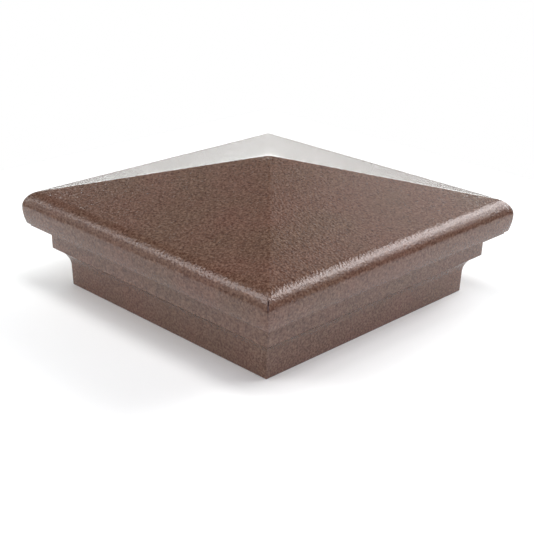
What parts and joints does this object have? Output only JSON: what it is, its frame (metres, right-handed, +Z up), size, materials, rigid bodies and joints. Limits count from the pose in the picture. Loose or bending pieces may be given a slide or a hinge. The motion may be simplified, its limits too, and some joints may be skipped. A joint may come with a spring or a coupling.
{
  "type": "fence post cap",
  "caption": "Low pyramid cap for a square timber post, with a bullnose rim over a ledge, fascia, cove and skirt, held by set screws from two sides.",
  "frame": {"origin": "centre of the skirt's foot, level with its lower edge", "axes": "+Z up along the post, -Y the front wall, +X the right wall"},
  "size_m": [0.121, 0.121, 0.0492],
  "materials": {
    "coated_casting": "metallic bronze-brown powder coat with a fine wrinkle",
    "zinc_screw": "zinc plated",
    "stainless_screw": "plain turned stainless steel",
    "nylon_tip": "natural white nylon",
    "grip_rubber": "matt black EPDM"
  },
  "bodies": {
    "cap": {"roof_shell": "coated_casting", "collar": "coated_casting", "roof_screw_front_right": "zinc_screw", "roof_screw_back_right": "zinc_screw", "roof_screw_back_left": "zinc_screw", "roof_screw_front_left": "zinc_screw", "grip_pad_front_1": "grip_rubber", "grip_pad_front_2": "grip_rubber", "grip_pad_right_1": "grip_rubber", "grip_pad_right_2": "grip_rubber", "grip_pad_back_1": "grip_rubber", "grip_pad_back_2": "grip_rubber", "grip_pad_left_1": "grip_rubber", "grip_pad_left_2": "grip_rubber"},
    "back_tip": {"set_screw_tip_back": "nylon_tip"},
    "back_screw": {"set_screw_back": "stainless_screw"},
    "left_tip": {"set_screw_tip_left": "nylon_tip"},
    "left_screw": {"set_screw_left": "stainless_screw"}
  },
  "joints": [
    {"name": "back_tip_slide", "type": "slide", "parent": "cap", "child": "back_tip", "axis": [0, -1, 0], "range_m": [-0.0012, 0.0024]},
    {"name": "back_screw_turn", "type": "hinge", "parent": "back_tip", "child": "back_screw", "pos_m": [0, 0.0448, 0.0174], "axis": [0, -1, 0], "range_deg": [-540, 1080]},
    {"name": "left_tip_slide", "type": "slide", "parent": "cap", "child": "left_tip", "axis": [1, 0, 0], "range_m": [-0.0012, 0.0024]},
    {"name": "left_screw_turn", "type": "hinge", "parent": "left_tip", "child": "left_screw", "pos_m": [-0.0448, 0, 0.0174], "axis": [1, 0, 0], "range_deg": [-540, 1080]}
  ],
  "couplings": [
    {"joint": "back_screw_turn", "follows": "back_tip_slide", "rad_per_m": 7853.9},
    {"joint": "left_screw_turn", "follows": "left_tip_slide", "rad_per_m": 7853.9}
  ]
}
